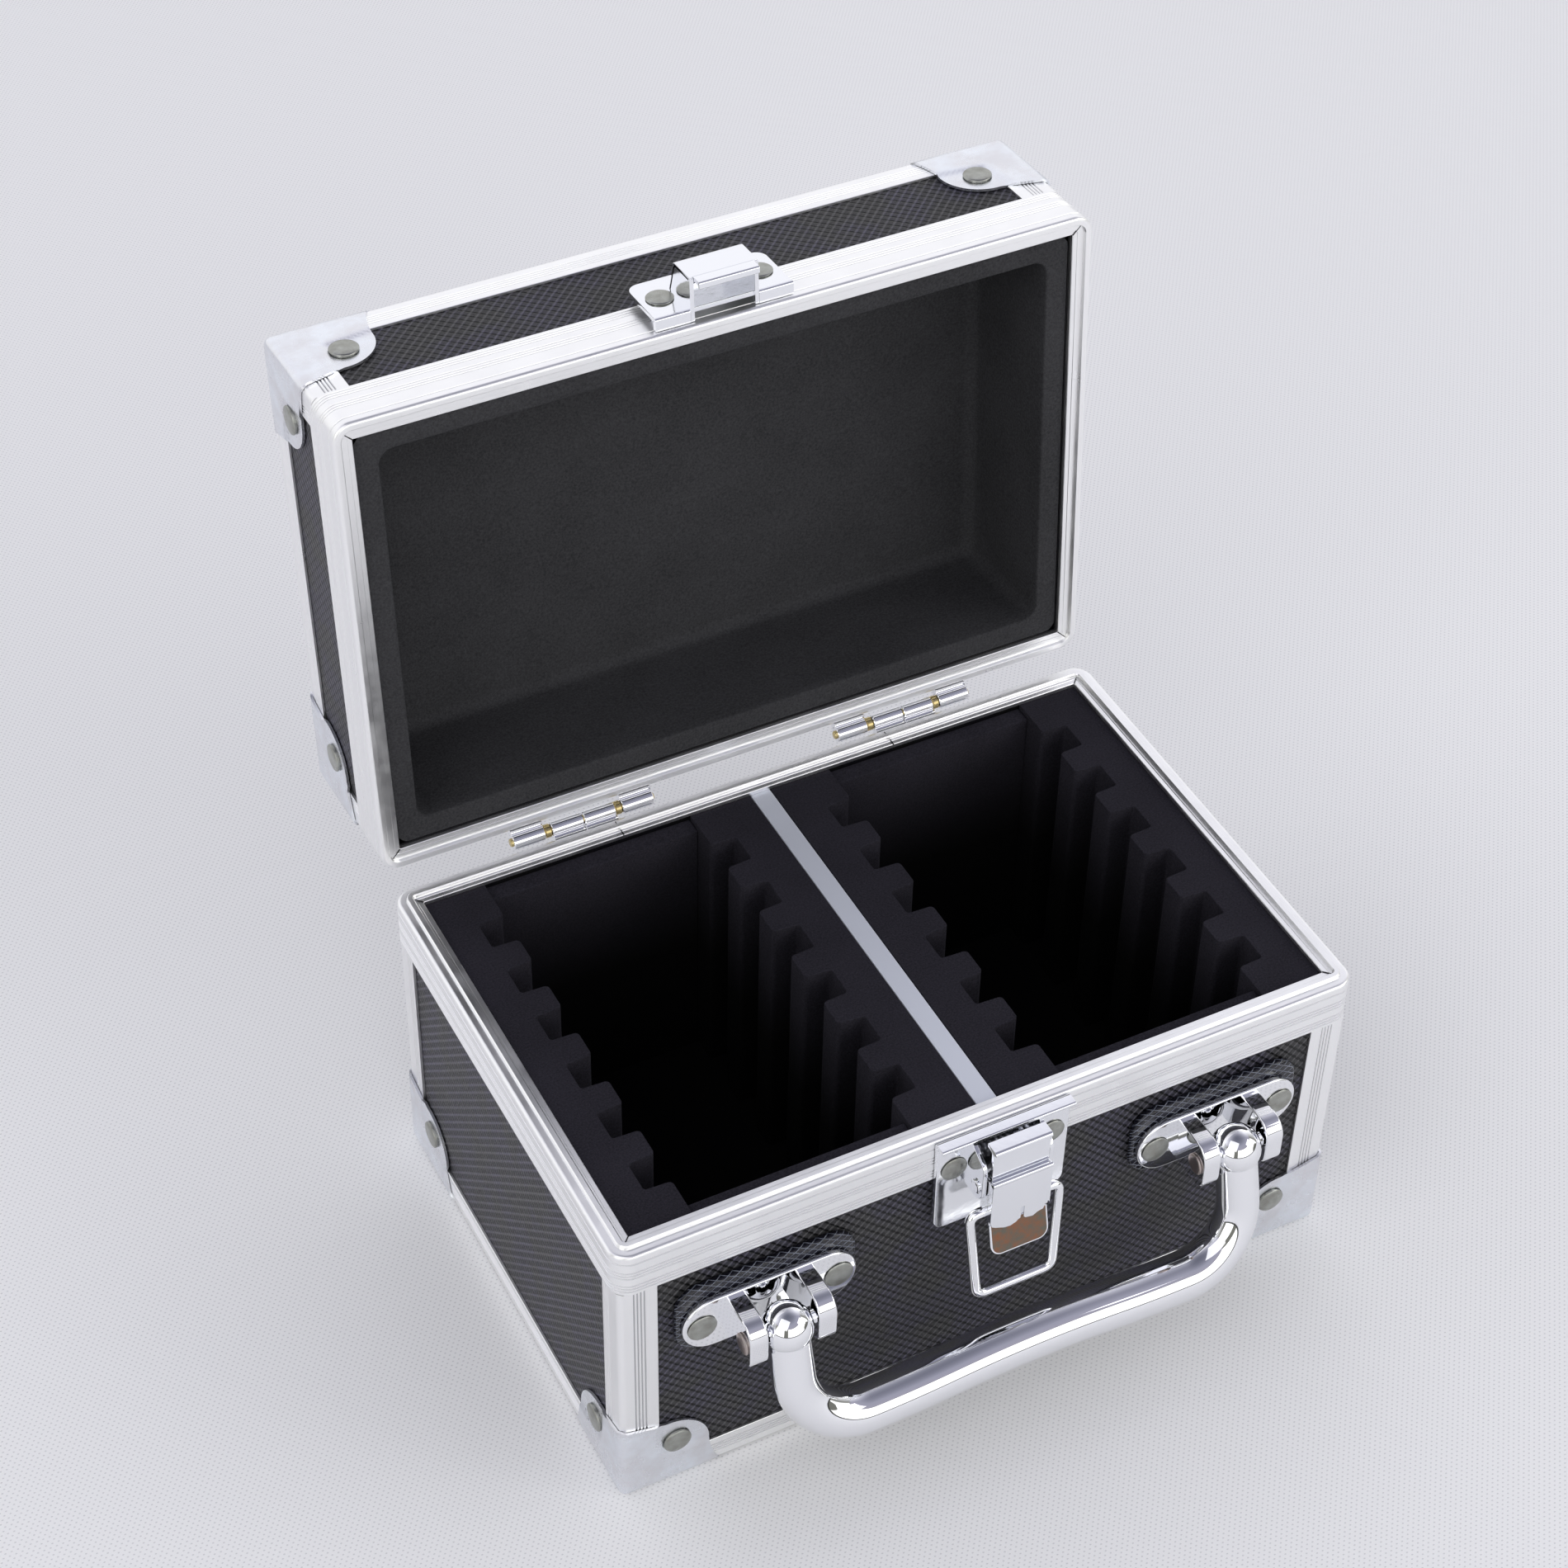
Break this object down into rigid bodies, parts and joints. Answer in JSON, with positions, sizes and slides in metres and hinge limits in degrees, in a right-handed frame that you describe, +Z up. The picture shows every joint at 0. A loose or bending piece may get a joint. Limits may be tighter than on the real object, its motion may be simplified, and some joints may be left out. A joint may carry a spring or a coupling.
{
  "type": "coin storage case",
  "caption": "Small aluminium-framed hard case for slabbed coins: slotted foam rows each side of a divider, hinged lid, sprung draw-hook latch with pull ring, and a swinging carry handle.",
  "frame": {"origin": "centre of the base's footprint, on the plane the case stands on", "axes": "+Z up, -Y towards the front with the latch and the handle, +X to the right as seen from the front; the lid stands open at rest"},
  "size_m": [0.181, 0.1945, 0.2125],
  "materials": {
    "panel": "thin board under a black embossed laminate with a satin sheen",
    "aluminium": "satin extrusion with fine ribs along its length",
    "zinc": "pressed steel with a pale zinc plate",
    "chrome": "bright plated",
    "brass": "plain turned",
    "foam": "closed-cell foam with a matt skin",
    "lining": "thin matt foam sheet",
    "pad": "matt moulded backing pad"
  },
  "bodies": {
    "base": {"base_front_panel": "panel", "base_back_panel": "panel", "base_left_panel": "panel", "base_right_panel": "panel", "base_bottom_panel": "panel", "base_edge_frame": "aluminium", "base_closure_rim": "aluminium", "base_post_front_left": "aluminium", "base_post_front_right": "aluminium", "base_post_back_left": "aluminium", "base_post_back_right": "aluminium", "base_corner_front_left": "zinc", "base_corner_front_right": "zinc", "base_corner_back_left": "zinc", "base_corner_back_right": "zinc", "left_row_outer_slot_strip": "foam", "left_row_inner_slot_strip": "foam", "right_row_outer_slot_strip": "foam", "right_row_inner_slot_strip": "foam", "left_row_front_pad": "foam", "left_row_back_pad": "foam", "right_row_front_pad": "foam", "right_row_back_pad": "foam", "floor_pad": "foam", "divider_panel": "panel", "divider_cap": "aluminium", "handle_pad_left": "pad", "handle_pad_right": "pad", "handle_bracket_left": "chrome", "handle_bracket_right": "chrome", "latch_plate": "chrome", "latch_pin": "chrome", "latch_spring": "zinc", "hinge_left_base_leaf": "chrome", "hinge_left_pin": "brass", "hinge_right_base_leaf": "chrome", "hinge_right_pin": "brass"},
    "lid": {"lid_front_panel": "panel", "lid_back_panel": "panel", "lid_left_panel": "panel", "lid_right_panel": "panel", "lid_top_panel": "panel", "lid_edge_frame": "aluminium", "lid_closure_rim": "aluminium", "lid_post_front_left": "aluminium", "lid_post_front_right": "aluminium", "lid_post_back_left": "aluminium", "lid_post_back_right": "aluminium", "lid_corner_front_left": "zinc", "lid_corner_front_right": "zinc", "lid_corner_back_left": "zinc", "lid_corner_back_right": "zinc", "lid_lining": "lining", "lid_catch": "chrome", "hinge_left_lid_leaf": "chrome", "hinge_right_lid_leaf": "chrome"},
    "handle": {"carry_handle": "chrome"},
    "latch_lever": {"latch_lever": "chrome"},
    "pull_ring": {"latch_pull_ring": "chrome"}
  },
  "joints": [
    {"name": "lid_hinge", "type": "hinge", "parent": "base", "child": "lid", "pos_m": [0, 0.0621, 0.08075], "axis": [1, 0, 0], "range_deg": [0, 94.5]},
    {"name": "handle_swing", "type": "hinge", "parent": "base", "child": "handle", "pos_m": [0, -0.069, 0.0523], "axis": [-1, 0, 0], "range_deg": [-22, 145]},
    {"name": "latch_release", "type": "hinge", "parent": "base", "child": "latch_lever", "pos_m": [0, -0.0648, 0.0685], "axis": [-1, 0, 0], "range_deg": [0, 10.5], "stiffness_Nm_per_rad": 0.03, "springref_deg": -20.05},
    {"name": "ring_swing", "type": "hinge", "parent": "latch_lever", "child": "pull_ring", "pos_m": [0, -0.0667, 0.0616], "axis": [-1, 0, 0], "range_deg": [-11, 94]}
  ]
}
